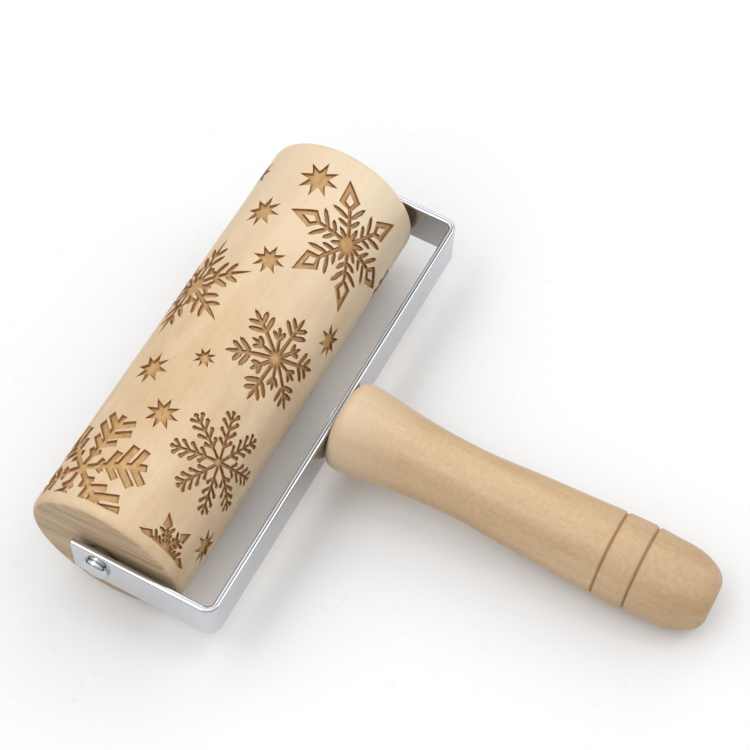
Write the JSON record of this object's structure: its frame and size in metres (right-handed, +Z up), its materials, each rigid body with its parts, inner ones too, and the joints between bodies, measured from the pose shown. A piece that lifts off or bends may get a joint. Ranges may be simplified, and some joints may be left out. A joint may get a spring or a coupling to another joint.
{
  "type": "engraved texture roller",
  "caption": "Hand roller with a snowflake-engraved wooden barrel that spins in a chromed U frame on a turned wooden handle.",
  "frame": {"origin": "on the table surface, straight under the middle of the barrel, with the tool lying at rest on its barrel and the rear of its handle", "axes": "+X along the axle from the left arm to the right arm, -Y from the barrel towards the end of the handle, +Z up from the table"},
  "size_m": [0.1332, 0.1589, 0.043],
  "materials": {
    "barrel_wood": "fine sanded, unlacquered, with a burnt engraved pattern",
    "handle_wood": "fine sanded, unlacquered",
    "frame_chrome": "bright chrome plate on flat steel strip",
    "cap_chrome": "bright chrome plate",
    "axle_steel": "drawn steel rod",
    "screw_steel": "zinc-plated steel",
    "bush_nylon": "dark brown nylon"
  },
  "bodies": {
    "tool": {"frame": "frame_chrome", "axle_rod": "axle_steel", "left_axle_cap": "cap_chrome", "right_axle_cap": "cap_chrome", "handle": "handle_wood", "handle_screw": "screw_steel"},
    "roller": {"barrel": "barrel_wood", "left_bush": "bush_nylon", "right_bush": "bush_nylon"}
  },
  "joints": [
    {"name": "barrel_spin", "type": "hinge", "parent": "tool", "child": "roller", "pos_m": [0, 0, 0.0215], "axis": [1, 0, 0], "continuous": true}
  ]
}
